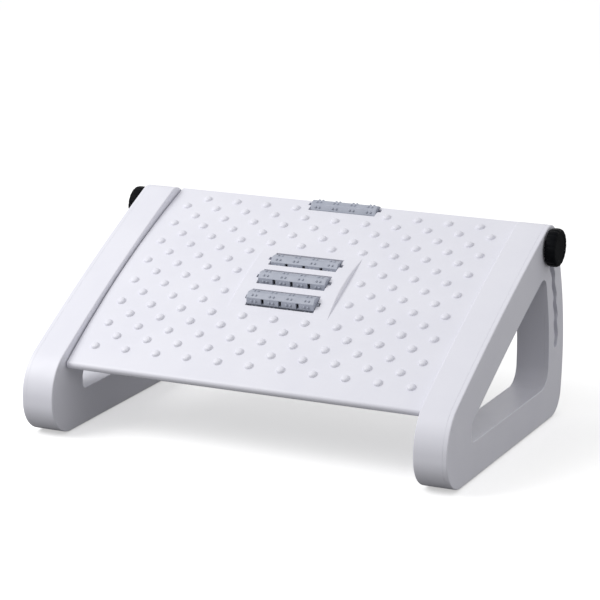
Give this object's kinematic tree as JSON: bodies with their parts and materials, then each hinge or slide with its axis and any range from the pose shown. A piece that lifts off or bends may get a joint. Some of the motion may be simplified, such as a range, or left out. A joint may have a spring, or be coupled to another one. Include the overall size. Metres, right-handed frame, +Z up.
{
  "type": "adjustable footrest",
  "caption": "Under-desk footrest: a domed foot panel with massage rollers, hinged between hollow side frames and clamped in wavy slots by side knobs.",
  "frame": {"origin": "on the floor, below the middle of the footrest", "axes": "+X to the right along the hinge line, +Y from the low front edge to the high rear edge, +Z up"},
  "size_m": [0.4846, 0.3094, 0.2069],
  "materials": {
    "white_plastic": "finely textured, satin",
    "grey_plastic": "moulded, satin",
    "black_plastic": "glossy",
    "steel": "zinc plated",
    "brass": "turned",
    "rubber": "matte"
  },
  "bodies": {
    "side_frames": {"frame_shell_left": "white_plastic", "frame_shell_right": "white_plastic", "frame_cover_left": "white_plastic", "frame_cover_right": "white_plastic", "pad_front_left": "rubber", "pad_front_right": "rubber", "pad_rear_left": "rubber", "pad_rear_right": "rubber", "pivot_pin_left": "steel", "pivot_pin_right": "steel"},
    "panel": {"foot_panel": "white_plastic", "axle_front": "steel", "axle_middle": "steel", "axle_back": "steel", "axle_rear_edge": "steel", "insert_left": "brass", "insert_right": "brass"},
    "front_roller": {"roller_front": "grey_plastic"},
    "middle_roller": {"roller_middle": "grey_plastic"},
    "back_roller": {"roller_back": "grey_plastic"},
    "rear_edge_roller": {"roller_rear_edge": "grey_plastic"},
    "left_washer": {"washer_left": "steel"},
    "right_washer": {"washer_right": "steel"},
    "left_knob": {"knob_left": "black_plastic", "stud_left": "steel"},
    "right_knob": {"knob_right": "black_plastic", "stud_right": "steel"}
  },
  "joints": [
    {"name": "panel_height", "type": "hinge", "parent": "side_frames", "child": "panel", "pos_m": [0, -0.12055, 0.074], "axis": [-1, 0, 0], "range_deg": [0, 24.85]},
    {"name": "front_roller_spin", "type": "hinge", "parent": "panel", "child": "front_roller", "pos_m": [0, -0.029, 0.1353], "axis": [1, 0, 0], "continuous": true},
    {"name": "middle_roller_spin", "type": "hinge", "parent": "panel", "child": "middle_roller", "pos_m": [0, -0.0024, 0.14918], "axis": [1, 0, 0], "continuous": true},
    {"name": "back_roller_spin", "type": "hinge", "parent": "panel", "child": "back_roller", "pos_m": [0, 0.02624, 0.15906], "axis": [1, 0, 0], "continuous": true},
    {"name": "rear_edge_roller_spin", "type": "hinge", "parent": "panel", "child": "rear_edge_roller", "pos_m": [0, 0.12047, 0.19681], "axis": [1, 0, 0], "continuous": true},
    {"name": "left_clamp_travel", "type": "slide", "parent": "panel", "child": "left_washer", "axis": [-1, 0, 0], "range_m": [0, 0.002]},
    {"name": "right_clamp_travel", "type": "slide", "parent": "panel", "child": "right_washer", "axis": [1, 0, 0], "range_m": [0, 0.002]},
    {"name": "left_knob_turn", "type": "hinge", "parent": "left_washer", "child": "left_knob", "pos_m": [0, 0.10647, 0.18453], "axis": [-1, 0, 0], "range_deg": [0, 720]},
    {"name": "right_knob_turn", "type": "hinge", "parent": "right_washer", "child": "right_knob", "pos_m": [0, 0.10647, 0.18453], "axis": [1, 0, 0], "range_deg": [0, 720]}
  ],
  "couplings": [
    {"joint": "left_clamp_travel", "follows": "left_knob_turn", "m_per_rad": 0.00015915},
    {"joint": "right_clamp_travel", "follows": "right_knob_turn", "m_per_rad": 0.00015915}
  ]
}
